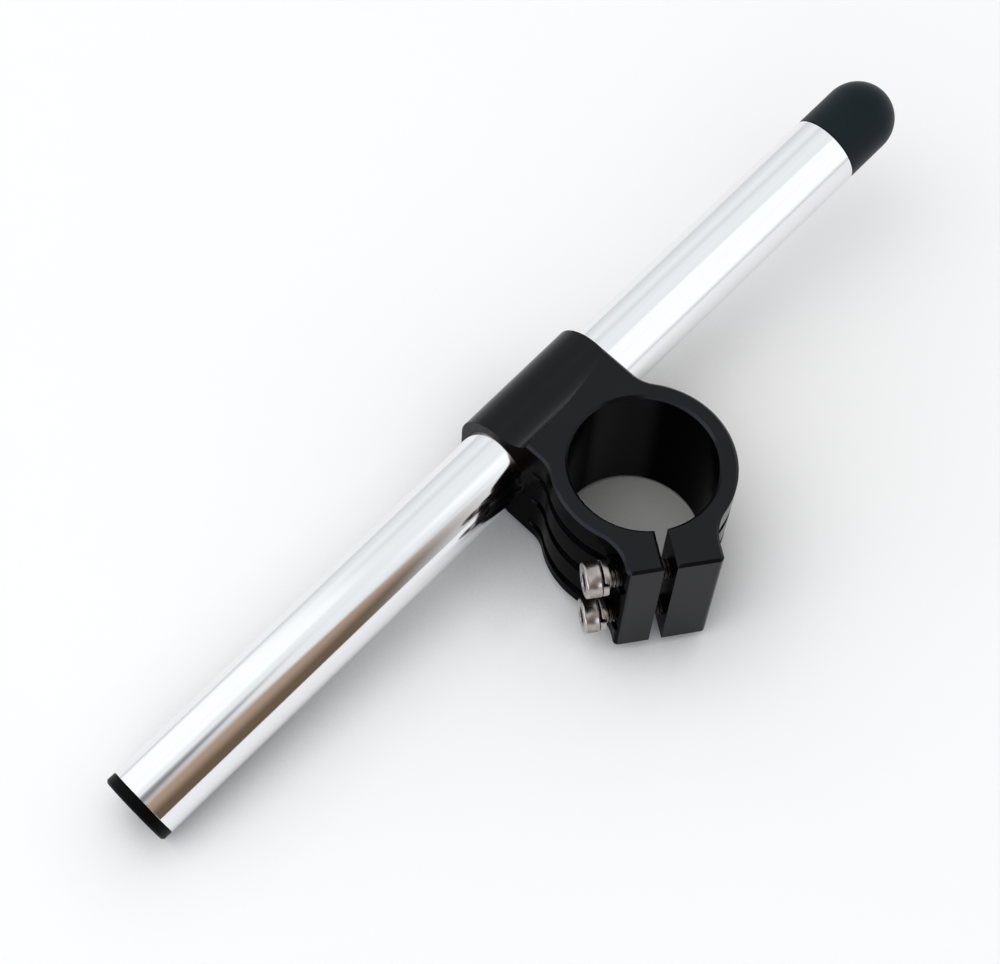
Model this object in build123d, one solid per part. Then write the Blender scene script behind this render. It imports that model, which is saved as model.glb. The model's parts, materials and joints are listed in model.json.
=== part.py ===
from build123d import *
import os
from math import acos, cos, degrees, radians, sin, sqrt, tan

# Clip-on handlebar: a split clamp, milled from one block, that carries a straight tubular bar.
# The origin is the middle of the fork bore. +Z runs up the fork tube, +Y points from the bore to
# the bar, and +X follows the bar, seen from above, towards its raised inner end.
# Sizes are millimetres and degrees.

# Fork ring
fork_diameter = 41.0        # fork tube that the ring grips
ring_wall = 5.1
clamp_height = 44.0
edge_break = 0.8            # chamfer along the clamp's outline and the fork bore, top and bottom

# Pinch ears
slit_angle = 236.3          # direction of the slit, from +X
slit_width = 3.6
ear_length = 6.8            # ears past the ring
head_ear = 10.0             # thickness of the ear under the screw heads
thread_ear = 12.8           # thickness of the threaded ear
ear_fillet = 13.0           # hollow between ring and ear
ear_corner = 1.5            # round on an ear's outer corner

# Bar
bar_diameter = 22.2
bar_wall = 3.0
bar_drop = 10.5             # slope of the bar, down towards the grip end
bar_gap = 3.8               # metal between fork bore and bar
bar_rise = 3.35             # bar axis above mid-height, beside the fork axis
grip_length = 153.4         # along the bar, from beside the fork axis to the grip end
tail_length = 116.0         # the same, to the inner end
bar_end_break = 0.4

# Boss that holds the bar
boss_wall = 3.1
boss_front = 19.4           # fork axis to the boss face on the grip side
boss_back = 18.4            # fork axis to the boss face on the inner side
web_fillet = 10.0           # hollow between boss and ring
saddle_radius = 13.5        # hollow that runs along the boss, up to the flat top
saddle_turn = 4.0           # where the hollow leaves the boss, short of its crown
bar_clearance = 0.05        # between bar and boss, on the radius

# Grooves round the ring
groove_first = 11.0         # top face to the first groove
groove_pitch = 13.2
groove_count = 3
groove_depth = 0.9
groove_floor = 2.0          # width of the flat floor
groove_flank = 50.0         # slope of the sides, from the floor's normal
groove_run_out = 9.0        # radius on which a groove leaves the wall at its ends
groove_run_out_turn = 70.0

# Pinch screws, M6 by 25 with low socket heads, part undone
screw_diameter = 6.0
screw_length = 25.0
screw_head_diameter = 10.0
screw_head_height = 4.4
screw_socket = 5.0          # across flats
screw_socket_depth = 3.2
screw_edge = 0.5
screw_inset = 5.7           # screws to the ears' end face
screw_spacing = 22.0
upper_stand_off = 5.4       # upper head clear of the ear
lower_stand_off = 4.4       # lower head clear of the ear
screw_hole_clearance = 0.3  # on the radius, in the ear under the heads
thread_clearance = 0.05     # on the radius, in a threaded hole
spot_face_margin = 0.3      # spot face past the head, on the radius
spot_face_depth = 0.8

# Split spring washers, loose on the screws and up against their heads
washer_diameter = 9.9
washer_thickness = 1.6
washer_split = 1.0
washer_split_turn = 38.0    # where the split is, round the screw from the slit's direction
washer_clearance = 0.2      # on the radius, round the screw
washer_play = 0.05          # under the head

# Lock screw under the boss, M8 by 10, with a socket in its outer end
lock_diameter = 8.0
lock_length = 10.0
lock_socket = 4.0           # across flats
lock_socket_depth = 5.0
lock_edge = 0.6

# Bar ends
end_relief = 0.1            # end pieces under the bar's size, on the radius, so that a grip slides over
plug_flange = 3.1
plug_rim = 0.6
cap_straight = 14.2         # below the cap's half-round end
spigot_length = 25.0
spigot_wall = 2.0
spigot_lead = 1.2           # chamfer that starts the spigot in the bar
spigot_clearance = 0.1      # ribs under the bar's inside, on the radius
rib_count = 6
rib_height = 0.8
rib_width = 1.6

# Sizes that follow
fork_radius = fork_diameter / 2
ring_radius = fork_radius + ring_wall
half_height = clamp_height / 2
half_slit = slit_width / 2
ear_reach = ring_radius + ear_length                    # fork axis to the ears' end face
head_face = half_slit + head_ear
thread_face = half_slit + thread_ear
bar_radius = bar_diameter / 2
bar_inside = bar_radius - bar_wall
bar_offset = fork_radius + bar_gap + bar_radius         # fork axis to bar axis
boss_radius = bar_radius + boss_wall
screw_along = ear_reach - screw_inset                   # fork axis to the screws, along the slit
spot_face_radius = screw_head_diameter / 2 + spot_face_margin
end_radius = bar_radius - end_relief
rib_radius = bar_inside - spigot_clearance
spigot_radius = rib_radius - rib_height
past = 5.0                  # how far a cutter runs past what it cuts
reach = 2 * (bar_offset + boss_radius + clamp_height)   # longer than any cut through the clamp

# Frames of the bar, the ears and the lock screw
bar_frame = Plane(
    origin=(0, bar_offset, bar_rise),
    x_dir=(0, 1, 0),
    z_dir=(cos(radians(bar_drop)), 0, sin(radians(bar_drop))),
)
ear_frame = Plane(
    origin=(0, 0, 0),
    x_dir=(cos(radians(slit_angle)), sin(radians(slit_angle)), 0),
    z_dir=(sin(radians(slit_angle)), -cos(radians(slit_angle)), 0),
)
lock_frame = Plane(origin=bar_frame.origin, x_dir=bar_frame.z_dir, z_dir=-bar_frame.y_dir)


def box_in_plan(x_low, x_high, y_low, y_high):
    return Pos((x_low + x_high) / 2, (y_low + y_high) / 2) * Rectangle(x_high - x_low, y_high - y_low)


def ear_point(along, across):
    """Point in plan, measured from the fork axis along the slit and across it."""
    return (Rot(0, 0, slit_angle) * Pos(along, across)).position


def ring_meets(across):
    """How far from the axis a straight wall, that far to one side, runs into the ring."""
    return sqrt(ring_radius**2 - across**2)


def turned(outline):
    """Solid of revolution about Z, from an outline in radius and height."""
    return revolve(Plane.XZ * make_face(outline), Axis.Z)


def rod(radius, low, high):
    return Pos(0, 0, (low + high) / 2) * Cylinder(radius, high - low)


def clamp_plan():
    """The clamp from above: ring, boss block and ears, cut by the slit and the fork bore."""
    block = box_in_plan(-boss_front, boss_back, 0, bar_offset + boss_radius + past)
    ears = Rot(0, 0, slit_angle) * box_in_plan(0, ear_reach, -head_face, thread_face)
    slit = Rot(0, 0, slit_angle) * box_in_plan(0, ear_reach + past, -half_slit, half_slit)
    plan = Circle(ring_radius) + block + ears - slit
    corners = (
        (Vector(-boss_front, ring_meets(boss_front)), web_fillet),
        (Vector(boss_back, ring_meets(boss_back)), web_fillet),
        (ear_point(ring_meets(head_face), -head_face), ear_fillet),
        (ear_point(ring_meets(thread_face), thread_face), ear_fillet),
        (ear_point(ear_reach, -head_face), ear_corner),
        (ear_point(ear_reach, thread_face), ear_corner),
    )
    for corner, radius in corners:
        plan = fillet(plan.vertices().sort_by_distance(corner)[0], radius)
    return plan - Circle(fork_radius)


def outside_boss():
    """What is milled off around the boss: over its round top, down the hollow beside it and outside."""
    middle = (boss_radius + saddle_radius) * Vector(sin(radians(saddle_turn)), cos(radians(saddle_turn)))
    crown = CenterArc((0, 0), boss_radius, 0, 90 - saddle_turn)
    hollow = CenterArc(middle, saddle_radius, 270 - saddle_turn, saddle_turn - 90)
    frame = Polyline(
        hollow @ 1,
        (middle.X - saddle_radius, reach),
        (reach, reach),
        (reach, -reach),
        (boss_radius, -reach),
        crown @ 0,
    )
    return extrude(bar_frame * make_face([crown, hollow, frame]), reach, both=True)


def groove_arc(middle, floor, rim, start, turn):
    """Cutter of one groove along an arc in plan, from the radius of its floor to that of its rim."""
    half_floor = groove_floor / 2
    half_rim = half_floor + abs(rim - floor) * tan(radians(groove_flank))
    section = Polyline(
        (floor, -half_floor),
        (rim, -half_rim),
        (rim, half_rim),
        (floor, half_floor),
        close=True,
    )
    return Pos(middle) * Rot(0, 0, start) * revolve(Plane.XZ * make_face(section), Axis.Z, turn)


def groove(start, end):
    """Cutter of one groove along the ring's free wall, with a run-out at each end."""
    floor = ring_radius - groove_depth
    cutters = [groove_arc(Vector(), floor, floor + past, start, end - start)]
    for place, first in ((start, start + 180), (end, end + 180 - groove_run_out_turn)):
        middle = (floor + groove_run_out) * Vector(cos(radians(place)), sin(radians(place)))
        run_out_rim = groove_run_out - past
        cutters += [groove_arc(middle, groove_run_out, run_out_rim, first, groove_run_out_turn)]
    return cutters


def hollow_start(across, radius):
    """Angle, from a straight wall's outward direction, at which the hollow beside it leaves the ring."""
    return degrees(acos((across + radius) / (ring_radius + radius)))


def grooves():
    """Cutters of all grooves: the same rows on both sides of the ring."""
    left = (180 - hollow_start(boss_front, web_fillet), slit_angle - 90 + hollow_start(head_face, ear_fillet))
    right = (slit_angle - 270 - hollow_start(thread_face, ear_fillet), hollow_start(boss_back, web_fillet))
    cutters = []
    for row in range(groove_count):
        height = half_height - groove_first - row * groove_pitch
        for side in (left, right):
            cutters += [Pos(0, 0, height) * cutter for cutter in groove(*side)]
    return cutters


def screw_cuts():
    """Cutters in the ears: for each screw a clearance hole, a threaded hole and a spot face."""
    hole = rod(screw_diameter / 2 + screw_hole_clearance, 0, head_face + past)
    thread = rod(screw_diameter / 2 + thread_clearance, -thread_face - past, 0)
    spot_face = rod(spot_face_radius, head_face - spot_face_depth, head_face + ear_fillet)
    cutters = []
    for height in (screw_spacing / 2, -screw_spacing / 2):
        place = ear_frame * Pos(screw_along, height)
        cutters += [place * cutter for cutter in (hole, thread, spot_face)]
    return cutters


def clamp_body():
    block = extrude(clamp_plan(), half_height, both=True)
    flats = block.faces().sort_by(Axis.Z)
    block = chamfer(flats[0].edges() + flats[-1].edges(), edge_break)
    bar_bore = bar_frame * rod(bar_radius + bar_clearance, -reach, reach)
    lock_hole = lock_frame * rod(lock_diameter / 2 + thread_clearance, 0, reach)
    return block - outside_boss() - bar_bore - lock_hole - screw_cuts() - grooves()


def bar_tube():
    tube = rod(bar_radius, -grip_length, tail_length)
    ends = tube.edges().filter_by(GeomType.CIRCLE)
    return bar_frame * (chamfer(ends, bar_end_break) - rod(bar_inside, -grip_length, tail_length))


def end_piece(*head):
    """Bar end: a head, given by its outline from rim to axis, on a hollow spigot with crush ribs."""
    hollow = spigot_radius - spigot_wall
    spigot = Polyline(
        head[-1] @ 1,
        (0, 0),
        (hollow, 0),
        (hollow, -spigot_length),
        (spigot_radius - spigot_lead, -spigot_length),
        (spigot_radius, spigot_lead - spigot_length),
        (spigot_radius, 0),
        (end_radius, 0),
    )
    piece = turned([*head, spigot])
    rib_edge = sqrt(rib_radius**2 - (rib_width / 2) ** 2)
    rib_section = box_in_plan(hollow + spigot_wall / 2, rib_edge, -rib_width / 2, rib_width / 2)
    rib = extrude(rib_section, 2 * spigot_lead - spigot_length)
    rib = chamfer(rib.edges().group_by(Axis.Z)[0].sort_by(Axis.X)[-1], rib_height)
    for number in range(rib_count):
        piece += Rot(0, 0, number * 360 / rib_count) * rib
    return piece


def bar_end_plug():
    flange = Polyline(
        (end_radius, 0),
        (end_radius, plug_flange - plug_rim),
        (end_radius - plug_rim, plug_flange),
        (0, plug_flange),
    )
    return bar_frame * Pos(0, 0, -grip_length) * Rot(180, 0, 0) * end_piece(flange)


def bar_end_cap():
    side = Line((end_radius, 0), (end_radius, cap_straight))
    dome = CenterArc((0, cap_straight), end_radius, 0, 90)
    return bar_frame * Pos(0, 0, tail_length) * end_piece(side, dome)


def socket(across_flats, depth):
    """Cutter of a hexagon socket that goes down from the origin."""
    return extrude(RegularPolygon(across_flats / 2, 6, major_radius=False), -depth)


def pinch_screw():
    """Socket head screw along Z, with the underside of its head at the origin."""
    shank = screw_diameter / 2
    head = screw_head_diameter / 2
    outline = Polyline(
        (0, -screw_length),
        (shank - screw_edge, -screw_length),
        (shank, screw_edge - screw_length),
        (shank, 0),
        (head, 0),
        (head, screw_head_height - screw_edge),
        (head - screw_edge, screw_head_height),
        (0, screw_head_height),
        close=True,
    )
    return turned(outline) - Pos(0, 0, screw_head_height) * socket(screw_socket, screw_socket_depth)


def spring_washer():
    """Split washer along Z, up against a screw head whose underside is at the origin."""
    outer = washer_diameter / 2
    inner = screw_diameter / 2 + washer_clearance
    split = box_in_plan(0, washer_diameter, -washer_split / 2, washer_split / 2)
    section = Circle(outer) - Circle(inner) - Rot(0, 0, washer_split_turn) * split
    return Pos(0, 0, -washer_play) * extrude(section, -washer_thickness)


def on_both_screws(piece):
    """The same piece at both screws, from one that has the underside of the screw head at the origin."""
    upper = ear_frame * Pos(screw_along, screw_spacing / 2, head_face + upper_stand_off)
    lower = ear_frame * Pos(screw_along, -screw_spacing / 2, head_face + lower_stand_off)
    return Compound([upper * piece, lower * piece])


def bar_lock_screw():
    grub = chamfer(rod(lock_diameter / 2, 0, lock_length).edges().filter_by(GeomType.CIRCLE), lock_edge)
    grub = grub - Pos(0, 0, lock_length) * socket(lock_socket, lock_socket_depth)
    return lock_frame * Pos(0, 0, bar_radius + bar_clearance) * grub


pieces = {
    "clamp_body": clamp_body(),
    "bar_tube": bar_tube(),
    "bar_end_plug": bar_end_plug(),
    "bar_end_cap": bar_end_cap(),
    "pinch_screws": on_both_screws(pinch_screw()),
    "spring_washers": on_both_screws(spring_washer()),
    "bar_lock_screw": bar_lock_screw(),
}
os.makedirs("parts", exist_ok=True)
for name, piece in pieces.items():
    export_step(piece, f"parts/{name}.step")
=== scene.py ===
import json
from math import atan2, ceil, cos, pi, radians, sin

import bmesh
import bpy
from bpy.props import FloatProperty, FloatVectorProperty, IntProperty, PointerProperty
from mathutils import Euler, Matrix, Vector


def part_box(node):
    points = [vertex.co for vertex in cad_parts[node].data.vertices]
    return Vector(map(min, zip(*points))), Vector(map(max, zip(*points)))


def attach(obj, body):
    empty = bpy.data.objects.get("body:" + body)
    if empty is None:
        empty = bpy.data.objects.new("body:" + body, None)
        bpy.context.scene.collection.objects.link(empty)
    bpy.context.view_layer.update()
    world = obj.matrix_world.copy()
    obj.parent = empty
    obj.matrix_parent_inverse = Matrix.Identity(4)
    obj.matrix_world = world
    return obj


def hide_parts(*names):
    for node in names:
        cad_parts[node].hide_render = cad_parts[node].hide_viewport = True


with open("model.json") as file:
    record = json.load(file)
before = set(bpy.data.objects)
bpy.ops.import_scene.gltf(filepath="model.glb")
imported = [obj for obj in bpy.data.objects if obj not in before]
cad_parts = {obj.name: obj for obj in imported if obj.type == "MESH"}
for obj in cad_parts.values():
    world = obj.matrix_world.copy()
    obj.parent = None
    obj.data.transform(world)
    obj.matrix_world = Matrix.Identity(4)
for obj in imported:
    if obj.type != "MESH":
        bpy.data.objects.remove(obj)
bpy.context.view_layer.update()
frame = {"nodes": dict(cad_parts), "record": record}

bl_info = {
    "name": "Clip-on handlebar",
    "version": (1, 0, 0),
    "blender": (4, 5, 0),
    "location": "View3D > Sidebar > Handlebar",
    "description": "Threads the screws of a clip-on handlebar, finishes its surfaces and sets its stage",
    "category": "Object",
}

# What the frame gives
MM = 0.001
mounts = {mount["name"]: mount for mount in frame["record"]["mounts"]}
slots = {material["slot"]: material["base_color"] for material in frame["record"]["materials"]}
fork_radius = mounts["fork_clamp"]["dims"]["r_mm"] * MM
bar_axis = Vector(mounts["inner_bar"]["axis"])

# How finely pieces are made
MERGE = 0.001 * MM          # points closer than this become one
END_REACH = 0.05 * MM       # how far the points of an open end may lie from its height
SHARP = radians(35)         # faces that meet at more than this keep a sharp edge
CORNER = radians(60)        # a washer's faces that meet at more than this get a rounded edge
THREAD_STEPS = 40           # in one turn
WASHER_STEPS = 72
CORNER_STEPS = 4
FLOOR_STEPS = 96


def length(name, description, millimetres):
    return FloatProperty(name=name, description=description, default=millimetres * MM, unit="LENGTH")


def angle(name, description, degrees):
    return FloatProperty(name=name, description=description, default=radians(degrees), subtype="ANGLE")


def colour(name, description, default):
    return FloatVectorProperty(name=name, description=description, default=default, subtype="COLOR")


def factor(name, description, default):
    return FloatProperty(name=name, description=description, default=default, min=0, max=1, subtype="FACTOR")


class PinchScrewSizes(bpy.types.PropertyGroup):
    """Sizes of the socket screws in the pinch ears"""

    slit_turn: angle("Slit turn", "Direction of the clamp's slit, from +X", 236.3)
    thread: length("Thread", "Diameter of the thread", 6.0)
    pitch: length("Pitch", "Rise of the thread in one turn", 1.0)
    thread_depth: length("Thread depth", "Root of the thread below its crest", 0.6)
    tip: length("Tip", "Chamfer at the end of the thread", 0.5)
    head_height: length("Head height", "Underside of the head to its top", 4.4)
    rim: length("Rim", "Rounded edge round the top of the head", 0.55)
    foot: length("Foot", "Chamfer round the underside of the head", 0.3)
    socket: length("Socket", "Hexagon across its flats", 5.0)
    socket_depth: length("Socket depth", "Depth of the hexagon", 3.2)
    countersink: length("Countersink", "Sloping mouth of the hexagon", 0.3)
    knurls: IntProperty(name="Knurls", description="Ridges round the head", default=36)
    knurl_depth: length("Knurl depth", "Depth of the ridges", 0.18)
    knurl_low: length("Knurl start", "Underside of the head to the ridges", 0.7)
    knurl_high: length("Knurl end", "Ridges to the top of the head", 0.95)
    knurl_run_out: length("Knurl run-out", "Where the ridges fade at both ends", 0.2)
    full_darkening: length("Thick oil", "From the head down to where the thread is dark with oil", 4.6)
    darkening_end: length("End of oil", "From the head down to the first trace of oil", 1.2)


class SpringWasherSizes(bpy.types.PropertyGroup):
    """Sizes of the split washers under the screw heads"""

    thickness: length("Thickness", "Height of the wire's section", 1.6)
    clearance: length("Clearance", "Inside of the washer past the thread", 0.2)
    relief: length("Relief", "Outside of the washer short of the screw head", 0.05)
    rise: length("Rise", "One end of the split below the other", 0.6)
    split: angle("Split", "Opening between the ends", 12.0)
    split_turn: angle("Split turn", "Where the split is, from the slit's direction", 38.0)
    play: length("Play", "Gap under the screw head", 0.05)
    edge: length("Edge", "Rounding of the section's corners", 0.15)


class LockScrewSizes(bpy.types.PropertyGroup):
    """Sizes of the grub screw under the boss"""

    pitch: length("Pitch", "Rise of the thread in one turn", 1.25)
    thread_depth: length("Thread depth", "Root of the thread below its crest", 0.75)
    tip: length("Tip", "Chamfer at the end that meets the bar", 0.6)
    socket: length("Socket", "Hexagon across its flats", 4.0)
    socket_depth: length("Socket depth", "Depth of the hexagon", 5.0)
    countersink: length("Countersink", "Sloping mouth of the hexagon", 0.3)


class Finishes(bpy.types.PropertyGroup):
    """Colours and polish of the handlebar's surfaces"""

    anodised: colour("Anodised", "Black of the clamp", (0.0035, 0.0035, 0.0048))
    anodised_gloss: factor("Anodised gloss", "Reflection of the black, 0.5 as on glass", 0.2)
    wall_gloss: factor("Wall gloss", "Reflection in the clamp's bore and on walls that face the grip", 0.008)
    anodised_roughness: factor("Anodised roughness", "How far the black blurs reflections", 0.2)
    anodised_edge: length("Anodised edge", "Rounding of edges that are only broken", 0.2)
    aluminium: colour("Aluminium", "Polished bar", slots["polished_aluminium"])
    aluminium_roughness: factor("Aluminium roughness", "How far the polish blurs reflections", 0.07)
    plastic: colour("Plastic", "Plug in the grip end", (0.0012, 0.0015, 0.0012))
    plastic_gloss: factor("Plastic gloss", "Reflection of the plug, 0.5 as on glass", 0.05)
    rubber: colour("Rubber", "Cap on the inner end", (0.006, 0.0112, 0.0138))
    rubber_gloss: factor("Rubber gloss", "Reflection of the cap, 0.5 as on glass", 0.11)
    moulded_roughness: factor("Moulding roughness", "How far plug and cap blur reflections", 0.42)
    steel: colour("Steel", "Screws and washers", (0.43, 0.4, 0.37))
    steel_roughness: factor("Steel roughness", "How far the screws blur reflections", 0.27)
    blackened: colour("Blackened steel", "Lock screw", slots["blackened_steel"])


class StageSettings(bpy.types.PropertyGroup):
    """Floor, room, light and camera"""

    floor: colour("Floor", "Colour of the floor", (0.93, 0.926, 0.917))
    floor_size: length("Floor size", "Radius of the floor", 1500)
    floor_gap: length("Floor gap", "From the handlebar down to the floor", 0.02)
    background: colour("Background", "What the camera sees past the floor", (0.93, 0.93, 0.93))
    window: colour("Window", "Two bright sides of the room", (1.15, 1.16, 1.17))
    wall: colour("Wall", "Rest of the room and its ceiling", (0.9, 0.93, 0.95))
    room: colour("Room", "Dark side of the room, low down", (0.15, 0.105, 0.068))
    room_high: colour("Room above", "Dark side of the room, higher up", (0.46, 0.33, 0.25))
    daylight: colour("Daylight", "Low bright window beside the bar", (2.4, 2.6, 3.2))
    shade: colour("Shade", "Dark spot over the viewer's place", (0.25, 0.24, 0.25))
    ceiling: colour("Ceiling", "Light from above on matt surfaces", (1.03, 1.03, 1.03))
    horizon: colour("Horizon", "Light from the sides on matt surfaces", (0.5, 0.5, 0.5))
    sky_heading: angle("Sky heading", "Brightest part of the light on matt surfaces, from +X", 150)
    sky_height: angle("Sky height", "Brightest part of the light on matt surfaces, above the floor", 52)
    lamp_power: FloatProperty(name="Lamp", description="Power of the soft lamp", default=2.5, unit="POWER")
    lamp_size: length("Lamp size", "Diameter of the soft lamp", 1100)
    lamp_distance: length("Lamp distance", "From the fork bore to the lamp", 1200)
    lamp_heading: angle("Lamp heading", "Direction of the lamp, from +X", 135)
    lamp_height: angle("Lamp height", "Direction of the lamp, above the floor", 68)
    lens: FloatProperty(name="Lens", description="Focal length", default=74.02, unit="CAMERA")
    sensor: FloatProperty(name="Sensor", description="Width of the sensor", default=36, unit="CAMERA")
    near_limit: length("Near limit", "Nearest distance that the camera sees", 10)
    camera_place: FloatVectorProperty(
        name="Camera",
        description="Where the camera stands",
        default=(-0.23303, -0.15662, 0.49824),
        subtype="XYZ",
    )
    camera_turn: FloatVectorProperty(
        name="Camera turn",
        description="How the camera is turned",
        default=tuple(radians(turn) for turn in (29.376, -2.079, -44.598)),
        subtype="EULER",
    )


class Wire:
    """A socket of a node tree. Arithmetic on wires adds Math nodes."""

    def __init__(self, tree, socket=None):
        self.tree = tree
        self.socket = socket

    def add(self, kind, settings=None, sockets=None):
        """Adds a node, gives it its settings and then its sockets, and returns its outputs by name."""
        node = self.tree.nodes.new(kind)
        for name, value in (settings or {}).items():
            setattr(node, name, value)
        for name, value in (sockets or {}).items():
            socket = next(s for s in node.inputs if name in (s.identifier, s.name))
            if isinstance(value, Wire):
                self.tree.links.new(value.socket, socket)
            elif socket.type == "RGBA":
                socket.default_value = (*value, 1)
            else:
                socket.default_value = value
        return {key: Wire(self.tree, s) for s in node.outputs for key in (s.name, s.identifier)}

    def math(self, operation, *values):
        sockets = dict(zip(("Value", "Value_001"), values))
        return self.add("ShaderNodeMath", {"operation": operation}, sockets)["Value"]

    def __add__(self, other):
        return self.math("ADD", self, other)

    def __radd__(self, other):
        return self.math("ADD", other, self)

    def __sub__(self, other):
        return self.math("SUBTRACT", self, other)

    def __rsub__(self, other):
        return self.math("SUBTRACT", other, self)

    def __mul__(self, other):
        return self.math("MULTIPLY", self, other)

    def __rmul__(self, other):
        return self.math("MULTIPLY", other, self)

    def smooth(self, low, high):
        """0 below low, 1 above high and a smooth step between them."""
        sockets = {"Value": self, "From Min": low, "From Max": high}
        return self.add("ShaderNodeMapRange", {"interpolation_type": "SMOOTHSTEP"}, sockets)["Result"]

    def mix(self, first, second):
        """The first colour where this wire is 0, the second where it is 1."""
        sockets = {"Factor_Float": self, "A_Color": first, "B_Color": second}
        return self.add("ShaderNodeMix", {"data_type": "RGBA"}, sockets)["Result_Color"]

    def blend(self, first, second):
        """The first shader where this wire is 0, the second where it is 1."""
        sockets = {"Fac": self, "Shader": first, "Shader_001": second}
        return self.add("ShaderNodeMixShader", {}, sockets)["Shader"]

    def dot(self, direction):
        """Length of this vector along a direction."""
        sockets = {"Vector": self, "Vector_001": direction}
        return self.add("ShaderNodeVectorMath", {"operation": "DOT_PRODUCT"}, sockets)["Value"]

    def place(self):
        """The piece's own coordinates."""
        return self.add("ShaderNodeTexCoord")["Object"]

    def noise(self, size, stretch=(1, 1, 1), turn=(0, 0, 0), detail=3.0):
        """Noise of that grain size over the piece's own coordinates, turned first and then stretched."""
        turned = self.add("ShaderNodeMapping", {}, {"Vector": self.place(), "Rotation": turn})["Vector"]
        grains = [1 / (size * s) for s in stretch]
        scaled = self.add("ShaderNodeMapping", {}, {"Vector": turned, "Scale": grains})["Vector"]
        return self.add("ShaderNodeTexNoise", {}, {"Vector": scaled, "Scale": 1.0, "Detail": detail})["Fac"]


def finish(name, build):
    """A material whose shader the given function builds."""
    material = bpy.data.materials.new(name)
    material.use_nodes = True
    tree = material.node_tree
    tree.nodes.clear()
    start = Wire(tree)
    start.add("ShaderNodeOutputMaterial", {}, {"Surface": build(start)})
    return material


def principled(start, **sockets):
    """Principled shader, with the names of its sockets as keywords."""
    named = {key.replace("_", " ").title().replace("Ior", "IOR"): value for key, value in sockets.items()}
    return start.add("ShaderNodeBsdfPrincipled", {}, named)["BSDF"]


def bump(start, height, distance, strength, normal=None):
    """Normal of a surface with a fine relief on it."""
    sockets = {"Height": height, "Distance": distance, "Strength": strength}
    if normal:
        sockets["Normal"] = normal
    return start.add("ShaderNodeBump", {}, sockets)["Normal"]


def tint(base, share):
    """A colour with each of its channels times a share."""
    return [share * channel for channel in base]


def painted_shade_mask(start):
    """1 where the clamp has its full colour and gloss, 0 in the fork bore and on the walls that face the
    grip, where it gets painted shade: a darker black that reflects less.
    """
    slit_turn = bpy.context.scene.handlebar_pinch_screws.slit_turn
    top_heights = (17.5 * MM, 20.5 * MM)        # between which the walls pass into the top
    boss_start = (19 * MM, 23 * MM)             # from the fork axis, towards the bar
    boss_far_half = (33 * MM, 41 * MM)          # from the fork axis too
    bore_edge = (fork_radius + 0.3 * MM, fork_radius + MM)
    slope_share = 0.76                          # share of full colour and gloss on what slopes upwards, short of flat; the rest is painted shade
    end_share = 0.6                             # share of full colour and gloss on the ears' end faces and on the boss's far half; the rest is painted shade
    facing = start.add("ShaderNodeNewGeometry")["Normal"]
    place = start.place()
    along = place.dot((1, 0, 0))
    across = place.dot((0, 1, 0))
    near_top = place.dot((0, 0, 1)).smooth(*top_heights)
    on_boss = across.smooth(*boss_start)
    off_bore = (along * along + across * across).smooth(*(radius**2 for radius in bore_edge))
    from_grip = facing.dot((1, 0, 0)).smooth(-0.35, -0.05)
    rise = facing.dot((0, 0, 1))
    upward = rise.smooth(0.15, 0.4)
    flat = rise.smooth(0.93, 0.99)
    ear_ends = facing.dot((cos(slit_turn), sin(slit_turn), 0)).smooth(0.85, 0.97)
    tops = upward * (slope_share + (1 - slope_share) * flat) * start.math("MAXIMUM", near_top, on_boss)
    far_half = end_share * across.smooth(*boss_far_half)
    walls = (1 - upward) * off_bore * start.math("MAXIMUM", from_grip, far_half)
    return start.math("MAXIMUM", tops + walls, end_share * ear_ends)


def anodised(start):
    """Black anodised block: half gloss over fine milling, painted shade that makes some walls darker and
    less glossy, and softly broken edges.
    """
    finishes = bpy.context.scene.handlebar_finishes
    painted_wall_shade = 0.1                            # painted shade: black of the darker walls, as a share of the clamp's
    grain = start.noise(1.1 * MM, detail=2)
    cloud = start.noise(16 * MM)
    mills = start.noise(4.5 * MM, stretch=(1, 1, 0.04))
    edge = start.add("ShaderNodeBevel", {"samples": 4}, {"Radius": finishes.anodised_edge})["Normal"]
    relief = bump(start, 0.5 * grain + 0.5 * mills, distance=0.004 * MM, strength=0.25, normal=edge)
    roughness = finishes.anodised_roughness - 0.04 + 0.06 * cloud + 0.03 * grain

    def black(shade, gloss):
        base = tint(finishes.anodised, shade)
        return principled(
            start,
            base_color=cloud.mix(tint(base, 0.75), tint(base, 1.25)),
            roughness=roughness,
            specular_ior_level=gloss,
            normal=relief,
        )

    # painted shade: a darker, less glossy copy of the black, which the mask puts in the bore and on walls
    painted_shade_copy = black(painted_wall_shade, finishes.wall_gloss)
    glossy = black(1, finishes.anodised_gloss)
    return painted_shade_mask(start).blend(painted_shade_copy, glossy)


def polished(start):
    """Clear anodised tube, polished lengthwise."""
    finishes = bpy.context.scene.handlebar_finishes
    base = finishes.aluminium
    along = Vector((1, 0, 0)).rotation_difference(bar_axis).inverted().to_euler()
    lengthwise = (200, 1, 1)
    hairs = start.noise(0.25 * MM, stretch=lengthwise, turn=along, detail=2)
    streaks = start.noise(1.6 * MM, stretch=lengthwise, turn=along, detail=2)
    return principled(
        start,
        base_color=(0.5 * hairs + 0.5 * streaks).mix(tint(base, 0.93), tint(base, 1.04)),
        metallic=1.0,
        roughness=finishes.aluminium_roughness - 0.03 + 0.06 * streaks + 0.03 * hairs,
    )


def moulded(base, gloss):
    """Black moulding with a fine spark-eroded grain."""

    def build(start):
        finishes = bpy.context.scene.handlebar_finishes
        grain = start.noise(0.4 * MM, detail=2)
        cloud = start.noise(11 * MM)
        return principled(
            start,
            base_color=cloud.mix(tint(base, 0.8), tint(base, 1.2)),
            roughness=finishes.moulded_roughness - 0.07 + 0.08 * cloud + 0.06 * grain,
            specular_ior_level=gloss,
            normal=bump(start, grain, distance=0.01 * MM, strength=0.3),
        )

    return build


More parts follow.
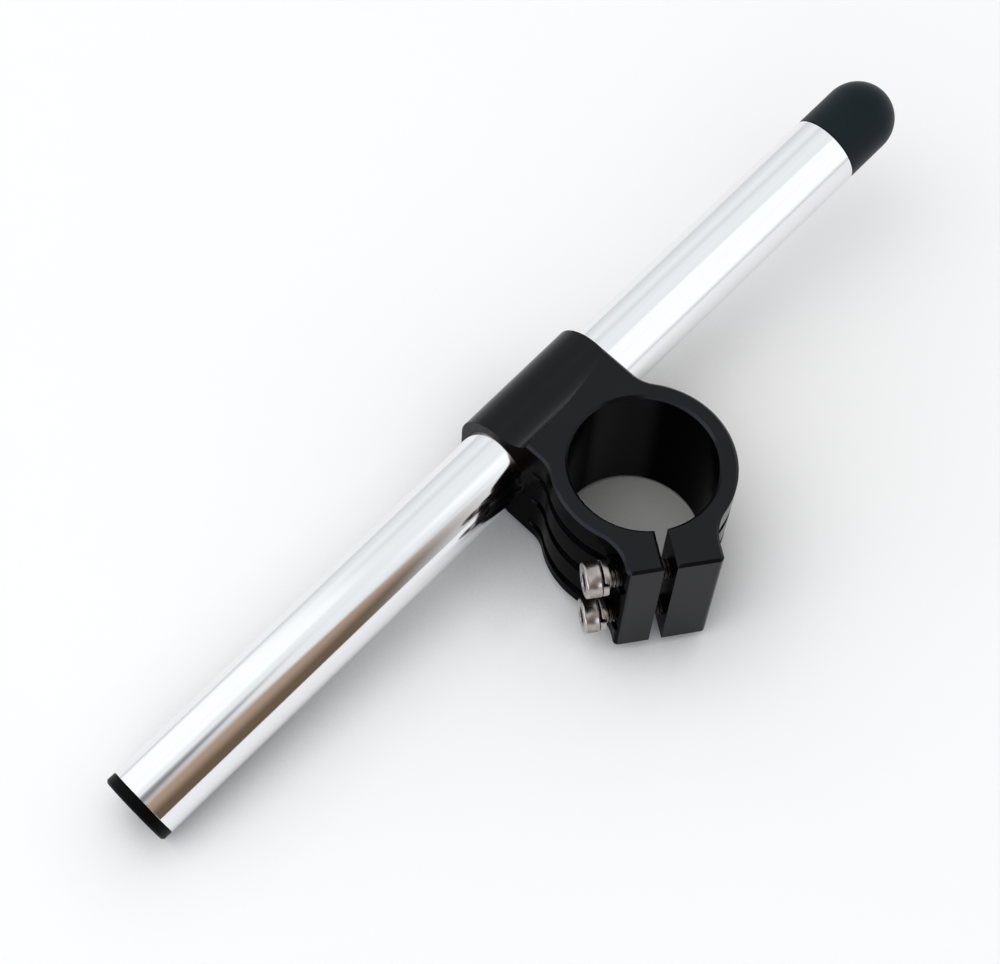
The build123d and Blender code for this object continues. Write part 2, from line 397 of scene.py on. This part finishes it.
def turned_steel(base, roughness, darkening=None):
    """Turned and rolled steel: clouds and tool marks, painted shade in its corners, and a darker thread.

    The darkening, if there is any, is a direction, where it is full along that direction, and where it ends."""
    # painted shade: how dark the steel turns in its corners, as a share of its colour
    painted_shade_share = 0.12
    darkening_share = 0.16
    corner_reach = 2.5 * MM

    def build(start):
        grain = start.noise(0.55 * MM)
        cloud = start.noise(2.2 * MM)
        settings = {"samples": 6, "only_local": True}
        openness = start.add("ShaderNodeAmbientOcclusion", settings, {"Distance": corner_reach})["AO"]
        clean = cloud.smooth(0.3, 0.7).mix(tint(base, 0.84), tint(base, 1.1))
        # painted shade: the colour darkens where ambient occlusion finds corners close by
        tone = openness.smooth(0.3, 0.85).mix(tint(base, painted_shade_share), clean)
        if darkening:
            direction, thick, end = darkening
            # the thread is darker deep along the direction, and fades back to its clean colour towards the
            # head
            tone = start.place().dot(direction).smooth(thick, end).mix(tint(base, darkening_share), tone)
        return principled(
            start,
            base_color=tone,
            metallic=1.0,
            roughness=roughness - 0.08 + 0.1 * grain + 0.1 * cloud,
            normal=bump(start, grain, distance=0.02 * MM, strength=0.4),
        )

    return build


def dress(node, material):
    """Gives a CAD node its finish."""
    frame["nodes"][node].material_slots[0].material = material


def add_object(name, data):
    """A new object of the scene."""
    added = bpy.data.objects.new(name, data)
    bpy.context.scene.collection.objects.link(added)
    return added


def add_shell(target, shell, place):
    """Moves a finished bmesh to its place and adds it to another one."""
    bmesh.ops.remove_doubles(shell, verts=shell.verts, dist=MERGE)
    bmesh.ops.recalc_face_normals(shell, faces=shell.faces)
    bmesh.ops.transform(shell, matrix=place, verts=shell.verts)
    carrier = bpy.data.meshes.new("shell")
    shell.to_mesh(carrier)
    shell.free()
    target.from_mesh(carrier)
    bpy.data.meshes.remove(carrier)


def show_piece(name, bm, material, node):
    """Makes the piece's object, which rides on the handlebar in place of its CAD node."""
    mesh = bpy.data.meshes.new(name)
    for face in bm.faces:
        face.smooth = True
    bm.to_mesh(mesh)
    bm.free()
    mesh.set_sharp_from_angle(angle=SHARP)
    mesh.materials.append(material)
    piece = add_object(name, mesh)
    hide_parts(node)
    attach(piece, "root")


def profile(bm, points):
    """Edges through points given as radius and height."""
    verts = [bm.verts.new((radius, 0, height)) for radius, height in points]
    return verts + [bm.edges.new(pair) for pair in zip(verts, verts[1:])]


def open_edges(bm):
    return [edge for edge in bm.edges if edge.is_boundary]


def end_edges(bm, height):
    """Edges of the open end of a shell at a height."""
    return [edge for edge in open_edges(bm) if abs(edge.verts[0].co.z - height) < END_REACH]


def fill(bm, edges, sides=0):
    """Closes holes with at most that many sides, or with any number of them if it is 0."""
    bmesh.ops.holes_fill(bm, edges=edges, sides=sides)


def thread(radius, low, high, sizes):
    """Screw thread about Z between two heights, chamfered at its low end and open at both ends."""
    bm = bmesh.new()
    pitch = sizes.pitch
    root = radius - sizes.thread_depth
    turns = ceil((high - low) / pitch) + 2
    start = low - pitch
    foot, crest, crest_end = 0.2 * pitch, 0.53 * pitch, 0.67 * pitch
    ridge = profile(bm, [
        (root, start),
        (root, start + foot),
        (radius, start + crest),
        (radius, start + crest_end),
        (root, start + pitch),
    ])
    bmesh.ops.spin(
        bm,
        geom=ridge,
        cent=(0, 0, 0),
        axis=(0, 0, 1),
        dvec=(0, 0, pitch / THREAD_STEPS),
        angle=2 * pi * turns,
        steps=THREAD_STEPS * turns,
    )
    bmesh.ops.remove_doubles(bm, verts=bm.verts, dist=2 * MERGE)
    for height, side in ((low, -1), (high, 1)):
        everything = bm.verts[:] + bm.edges[:] + bm.faces[:]
        bmesh.ops.bisect_plane(
            bm, geom=everything, plane_co=(0, 0, height), plane_no=(0, 0, side), clear_outer=True
        )
    for vert in bm.verts:
        limit = radius - max(low + sizes.tip - vert.co.z, 0)
        vert.co.xy *= min(limit / vert.co.xy.length, 1)
    return bm


def corner_radius(sizes):
    """From the middle of a screw's hexagon socket to its corners."""
    return sizes.socket / 2 / cos(pi / 6)


def hexagon_socket(bm, mouth, sizes):
    """Joins the open loop of edges at the top of a shell to a hexagon socket."""
    top = mouth[0].verts[0].co.z
    place = Matrix.Translation((0, 0, top - sizes.countersink))
    hexagon = bmesh.ops.create_circle(bm, segments=6, radius=corner_radius(sizes), matrix=place)["verts"]
    sides = list({edge for vert in hexagon for edge in vert.link_edges})
    bmesh.ops.bridge_loops(bm, edges=mouth + sides)
    walls = bmesh.ops.extrude_edge_only(bm, edges=sides)["geom"]
    low = [element for element in walls if isinstance(element, bmesh.types.BMVert)]
    bmesh.ops.translate(bm, verts=low, vec=(0, 0, sizes.countersink - sizes.socket_depth))
    fill(bm, open_edges(bm))


def turned_shell(points, steps):
    """Shell turned about Z from an outline that starts on the axis, with its last circle of edges."""
    bm = bmesh.new()
    outline = profile(bm, points)
    bmesh.ops.spin(
        bm, geom=outline, cent=(0, 0, 0), axis=(0, 0, 1), angle=2 * pi, steps=steps, use_merge=True
    )
    bmesh.ops.remove_doubles(bm, verts=bm.verts, dist=MERGE)
    return bm, open_edges(bm)


def rounded(radius, height, edge):
    """Points of an outline's quarter-round corner, from its side to its top."""
    turns = [pi / 2 * step / CORNER_STEPS for step in range(CORNER_STEPS + 1)]
    return [(radius - edge + edge * cos(turn), height - edge + edge * sin(turn)) for turn in turns]


def screw_head(radius, sizes):
    """Head of a socket screw that stands on Z = 0, with a knurled side."""
    low = sizes.knurl_low
    high = sizes.head_height - sizes.knurl_high
    run_out = sizes.knurl_run_out
    points = [(0, 0), (radius - sizes.foot, 0), (radius, sizes.foot), (radius, low - run_out), (radius, low)]
    points += [(radius, high), (radius, high + run_out)]
    points += rounded(radius, sizes.head_height, sizes.rim)
    points += [(corner_radius(sizes) + sizes.countersink / 2, sizes.head_height)]
    bm, mouth = turned_shell(points, 2 * sizes.knurls)
    step = pi / sizes.knurls
    valleys = []
    for vert in bm.verts:
        on_band = low - run_out / 2 < vert.co.z < high + run_out / 2 and vert.co.xy.length > radius / 2
        if on_band and round(vert.co.xy.angle_signed(Vector((1, 0))) / step) % 2:
            valleys.append(vert)
    shrink = 1 - sizes.knurl_depth / radius
    bmesh.ops.scale(bm, vec=(shrink, shrink, 1), verts=valleys)
    hexagon_socket(bm, mouth, sizes)
    return bm


def spring_washer(inner, outer, sizes):
    """Split washer about Z, wound up to just under Z = 0."""
    bm = bmesh.new()
    high = -sizes.play - sizes.rise
    low = high - sizes.thickness
    section = profile(bm, [(inner, low), (outer, low), (outer, high), (inner, high)])
    section.append(bm.edges.new((section[3], section[0])))
    bmesh.ops.spin(
        bm,
        geom=section,
        cent=(0, 0, 0),
        axis=(0, 0, 1),
        dvec=(0, 0, sizes.rise / WASHER_STEPS),
        angle=2 * pi - sizes.split,
        steps=WASHER_STEPS,
    )
    fill(bm, open_edges(bm), sides=4)
    bmesh.ops.recalc_face_normals(bm, faces=bm.faces)
    corners = [edge for edge in bm.edges if edge.calc_face_angle(0) > CORNER]
    bmesh.ops.bevel(
        bm,
        geom=corners,
        offset=sizes.edge,
        offset_type="OFFSET",
        segments=3,
        profile=0.5,
        affect="EDGES",
        material=-1,
    )
    turn = Matrix.Rotation(sizes.split_turn + sizes.split / 2, 3, "Z")
    bmesh.ops.rotate(bm, verts=bm.verts, cent=(0, 0, 0), matrix=turn)
    return bm


def spread(points, direction):
    """Lowest and highest of some points along a direction."""
    heights = [point.dot(direction) for point in points]
    return min(heights), max(heights)


def node_points(node):
    return [vert.co for vert in frame["nodes"][node].data.vertices]


def screw_places(sizes):
    """For each pinch screw of the CAD, the upper one first: its place, with the head's underside at the
    origin, its head's radius and its shank's length."""
    along = Vector((cos(sizes.slit_turn), sin(sizes.slit_turn), 0))
    up = Vector((0, 0, 1))
    out = along.cross(up)
    turn = Matrix((along, up, out)).transposed().to_4x4()
    points = node_points("pinch_screws")
    for side in (1, -1):
        screw = [point for point in points if side * point.z > 0]
        tip, top = spread(screw, out)
        left, right = spread(screw, along)
        low, high = spread(screw, up)
        underside = top - sizes.head_height
        origin = along * (left + right) / 2 + up * (low + high) / 2 + out * underside
        yield Matrix.Translation(origin) @ turn, (high - low) / 2, underside - tip


class HANDLEBAR_OT_pinch_screws(bpy.types.Operator):
    """Two threaded and knurled socket screws in the pinch ears"""

    bl_idname = "handlebar.pinch_screws"
    bl_label = "Pinch screws"

    def execute(self, context):
        sizes = context.scene.handlebar_pinch_screws
        finishes = context.scene.handlebar_finishes
        both = bmesh.new()
        places = list(screw_places(sizes))
        for place, head_radius, shank in places:
            add_shell(both, screw_head(head_radius, sizes), place)
            shaft = thread(sizes.thread / 2, -shank, sizes.foot, sizes)
            fill(shaft, open_edges(shaft))
            add_shell(both, shaft, place)
        # the thread of both screws turns darker from a little under the lower head on into the ear
        lower = places[-1][0]
        out = lower.col[2].to_3d()
        underside = lower.translation.dot(out)
        darkening = (out, underside - sizes.full_darkening, underside - sizes.darkening_end)
        steel = finish("stainless_steel", turned_steel(finishes.steel, finishes.steel_roughness, darkening))
        show_piece("pinch_screw_pair", both, steel, "pinch_screws")
        return {"FINISHED"}


class HANDLEBAR_OT_spring_washers(bpy.types.Operator):
    """A wound split washer under each screw head"""

    bl_idname = "handlebar.spring_washers"
    bl_label = "Spring washers"

    def execute(self, context):
        sizes = context.scene.handlebar_washers
        finishes = context.scene.handlebar_finishes
        screw = context.scene.handlebar_pinch_screws
        both = bmesh.new()
        for place, head_radius, _ in screw_places(screw):
            washer = spring_washer(screw.thread / 2 + sizes.clearance, head_radius - sizes.relief, sizes)
            add_shell(both, washer, place)
        steel = finish("washer_steel", turned_steel(finishes.steel, finishes.steel_roughness))
        show_piece("spring_washer_pair", both, steel, "spring_washers")
        return {"FINISHED"}


class HANDLEBAR_OT_lock_screw(bpy.types.Operator):
    """Threaded grub screw under the boss"""

    bl_idname = "handlebar.lock_screw"
    bl_label = "Lock screw"

    def execute(self, context):
        sizes = context.scene.handlebar_lock_screw
        finishes = context.scene.handlebar_finishes
        across = Vector((0, 1, 0))
        down = across.cross(bar_axis)
        points = node_points("bar_lock_screw")
        near, far = spread(points, down)
        left, right = spread(points, across)
        low, high = spread(points, bar_axis)
        origin = bar_axis * (low + high) / 2 + across * (left + right) / 2 + down * near
        turn = Matrix((across, bar_axis, down)).transposed().to_4x4()
        height = far - near
        grub = thread((right - left) / 2, 0, height, sizes)
        fill(grub, end_edges(grub, 0))
        hexagon_socket(grub, end_edges(grub, height), sizes)
        placed = bmesh.new()
        add_shell(placed, grub, Matrix.Translation(origin) @ turn)
        blackened = finish("blackened_steel", turned_steel(finishes.blackened, finishes.steel_roughness))
        show_piece("lock_grub_screw", placed, blackened, "bar_lock_screw")
        return {"FINISHED"}


class HANDLEBAR_OT_clamp_finish(bpy.types.Operator):
    """Black anodised finish of the clamp"""

    bl_idname = "handlebar.clamp_finish"
    bl_label = "Clamp finish"

    def execute(self, context):
        dress("clamp_body", finish("black_anodised", anodised))
        return {"FINISHED"}


class HANDLEBAR_OT_bar_finish(bpy.types.Operator):
    """Polished finish of the bar, and black mouldings in its ends"""

    bl_idname = "handlebar.bar_finish"
    bl_label = "Bar and bar ends finish"

    def execute(self, context):
        finishes = context.scene.handlebar_finishes
        dress("bar_tube", finish("polished_aluminium", polished))
        dress("bar_end_plug", finish("black_plastic", moulded(finishes.plastic, finishes.plastic_gloss)))
        dress("bar_end_cap", finish("black_rubber", moulded(finishes.rubber, finishes.rubber_gloss)))
        return {"FINISHED"}


def rest_plane():
    """A point and the normal of the plane that the handlebar lies on: under the plug's rim and the clamp."""
    plug = min(node_points("bar_end_plug"), key=lambda point: point.z)
    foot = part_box("clamp_body")[0].z + MM
    underside = [point for point in node_points("clamp_body") if point.z < foot]
    edge = min(underside, key=lambda point: (point.z - plug.z) / (point.x - plug.x))
    slope = Vector((edge.x - plug.x, 0, edge.z - plug.z)).normalized()
    return plug, Vector((-slope.z, 0, slope.x))


def floor_finish(start):
    """Pale matt floor with painted shadow close to what lies on it, over its real shadow, that fades far
    away and isn't seen from below.
    """
    settings = bpy.context.scene.handlebar_stage
    tone = settings.floor
    painted_shadow_share = 0.48
    painted_shadow_reach = 30 * MM
    fade = (0.5 * settings.floor_size, 0.95 * settings.floor_size)
    cloud = start.noise(160 * MM)
    # painted shadow: ambient occlusion darkens the floor's colour near the handlebar
    openness = start.add("ShaderNodeAmbientOcclusion", {"samples": 4}, {"Distance": painted_shadow_reach})["AO"]
    clean = cloud.mix(tint(tone, 0.985), tone)
    pale = principled(
        start,
        base_color=openness.smooth(0.1, 0.9).mix(tint(tone, painted_shadow_share), clean),
        roughness=0.9,
        specular_ior_level=0.1,
    )
    clear = start.add("ShaderNodeBsdfTransparent")["BSDF"]
    below = start.add("ShaderNodeNewGeometry")["Backfacing"]
    reach = start.add("ShaderNodeVectorMath", {"operation": "LENGTH"}, {"Vector": start.place()})["Value"]
    return start.math("MAXIMUM", below, reach.smooth(*fade)).blend(pale, clear)


def room_world(settings, level):
    """Room that shows in reflections, plain light for matt surfaces and a plain background.

    The room is pale, with a window, a glow, a dark side and a low strip of daylight. Its directions are
    degrees from +X and degrees above the floor, whose normal is given."""
    world = bpy.data.worlds.new("room")
    world.use_nodes = True
    tree = world.node_tree
    tree.nodes.clear()
    start = Wire(tree)
    tilt = (0, -atan2(level.x, level.z), 0)
    ahead = start.add("ShaderNodeTexCoord")["Generated"]
    direction = start.add("ShaderNodeMapping", {}, {"Vector": ahead, "Rotation": tilt})["Vector"]
    parts = start.add("ShaderNodeSeparateXYZ", {}, {"Vector": direction})
    heading = start.math("ARCTAN2", parts["Y"], parts["X"])
    height = start.math("ARCSINE", parts["Z"])
    rays = start.add("ShaderNodeLightPath")
    lean = radians(20)          # how far the dark side's edge turns on its way up
    sky_edge = -0.3             # where the light on matt surfaces is at its weakest

    def step(value, low, high):
        return value.smooth(radians(low), radians(high))

    def band(value, low, high, blur):
        return step(value, low - blur, low + blur) * (1 - step(value, high - blur, high + blur))

    def light(shade):
        return start.add("ShaderNodeBackground", {}, {"Color": shade, "Strength": 1.0})["Background"]

    rising = step(height, low=-8, high=36).mix(tint(settings.wall, 0.8), tint(settings.wall, 1.04))
    wall = band(height, low=45, high=55, blur=7).mix(rising, tint(settings.wall, 0.87))
    window = band(heading, low=-79, high=-30, blur=3) * band(height, low=6, high=78, blur=6)
    glow = band(heading, low=87, high=150, blur=2.5) * band(height, low=8, high=78, blur=6)
    pale = start.math("MAXIMUM", window, glow).mix(wall, settings.window)
    lower_room = step(height, low=18, high=50).mix(settings.room, settings.room_high)
    room = step(height, low=50, high=76).mix(lower_room, wall)
    leaning = heading + lean * step(height, low=38, high=78)
    dark = (1 - step(leaning, low=-84.5, high=-78.5)) + step(heading, low=165, high=175)
    spot = band(heading, low=-160, high=-106, blur=7) * band(height, low=60, high=82, blur=6)
    beside = step(start.math("ABSOLUTE", heading), low=124, high=134)
    first_bounce = start.math("LESS_THAN", rays["Glossy Depth"], 1.5)
    daylight = first_bounce * beside * band(height, low=6, high=36, blur=4)
    around = spot.blend(dark.blend(light(pale), light(room)), light(settings.shade))
    reflected = daylight.blend(around, light(settings.daylight))
    level_share = cos(settings.sky_height)
    lit_from = (
        level_share * cos(settings.sky_heading),
        level_share * sin(settings.sky_heading),
        sin(settings.sky_height),
    )
    overhead = direction.dot(lit_from).smooth(sky_edge, 1).mix(settings.horizon, settings.ceiling)
    lit = rays["Is Diffuse Ray"].blend(reflected, light(overhead))
    seen = rays["Is Camera Ray"].blend(lit, light(settings.background))
    start.add("ShaderNodeOutputWorld", {}, {"Surface": seen})
    return world


def add_floor(settings, middle, normal):
    """Round floor, just under the handlebar."""
    bm = bmesh.new()
    tilt = normal.to_track_quat("Z", "Y").to_matrix().to_4x4()
    place = Matrix.Translation(middle - settings.floor_gap * normal) @ tilt
    bmesh.ops.create_circle(
        bm, cap_ends=True, segments=FLOOR_STEPS, radius=settings.floor_size, matrix=place
    )
    mesh = bpy.data.meshes.new("floor")
    bm.to_mesh(mesh)
    bm.free()
    mesh.materials.append(finish("floor", floor_finish))
    floor = add_object("floor", mesh)


def add_lamp(settings, normal):
    """Soft round lamp that reflections don't show."""
    lamp = bpy.data.lights.new("soft_lamp", "AREA")
    lamp.shape = "DISK"
    lamp.size = settings.lamp_size
    lamp.energy = settings.lamp_power
    heading = Vector((cos(settings.lamp_heading), sin(settings.lamp_heading), 0))
    direction = cos(settings.lamp_height) * heading + sin(settings.lamp_height) * normal
    lamp_object = add_object("soft_lamp", lamp)
    lamp_object.location = direction.normalized() * settings.lamp_distance
    lamp_object.rotation_euler = direction.to_track_quat("Z", "Y").to_euler()
    lamp_object.visible_glossy = False


def add_camera(settings):
    """Camera at the photograph's viewing angle."""
    camera = bpy.data.cameras.new("camera")
    camera.sensor_width = settings.sensor
    camera.lens = settings.lens
    camera.clip_start = settings.near_limit
    camera_object = add_object("camera", camera)
    camera_object.location = settings.camera_place
    camera_object.rotation_euler = Euler(settings.camera_turn)
    bpy.context.scene.camera = camera_object


class HANDLEBAR_OT_stage(bpy.types.Operator):
    """Floor, soft light, surroundings and camera"""

    bl_idname = "handlebar.stage"
    bl_label = "Stage"

    def execute(self, context):
        settings = context.scene.handlebar_stage
        middle, normal = rest_plane()
        add_floor(settings, middle, normal)
        add_lamp(settings, normal)
        context.scene.world = room_world(settings, normal)
        add_camera(settings)
        context.scene.view_settings.view_transform = "Standard"
        return {"FINISHED"}


operators = (
    HANDLEBAR_OT_clamp_finish,
    HANDLEBAR_OT_bar_finish,
    HANDLEBAR_OT_pinch_screws,
    HANDLEBAR_OT_spring_washers,
    HANDLEBAR_OT_lock_screw,
    HANDLEBAR_OT_stage,
)
settings_groups = {
    "handlebar_pinch_screws": PinchScrewSizes,
    "handlebar_washers": SpringWasherSizes,
    "handlebar_lock_screw": LockScrewSizes,
    "handlebar_finishes": Finishes,
    "handlebar_stage": StageSettings,
}


class HANDLEBAR_PT_panel(bpy.types.Panel):
    """Pieces and settings of the handlebar"""

    bl_label = "Clip-on handlebar"
    bl_space_type = "VIEW_3D"
    bl_region_type = "UI"
    bl_category = "Handlebar"

    def draw(self, context):
        for operator in operators:
            self.layout.operator(operator.bl_idname)
        for group in settings_groups:
            settings = getattr(context.scene, group)
            box = self.layout.box()
            for name in settings.bl_rna.properties.keys():
                if name not in ("rna_type", "name"):
                    box.prop(settings, name)


def register():
    for group, kind in settings_groups.items():
        bpy.utils.register_class(kind)
        setattr(bpy.types.Scene, group, PointerProperty(type=kind))
    for kind in (*operators, HANDLEBAR_PT_panel):
        bpy.utils.register_class(kind)


def unregister():
    for kind in (HANDLEBAR_PT_panel, *reversed(operators)):
        bpy.utils.unregister_class(kind)
    for group, kind in settings_groups.items():
        delattr(bpy.types.Scene, group)
        bpy.utils.unregister_class(kind)


def main():
    register()
    for operator in operators:
        group, name = operator.bl_idname.split(".")
        getattr(getattr(bpy.ops, group), name)()


if __name__ == "__main__":
    main()
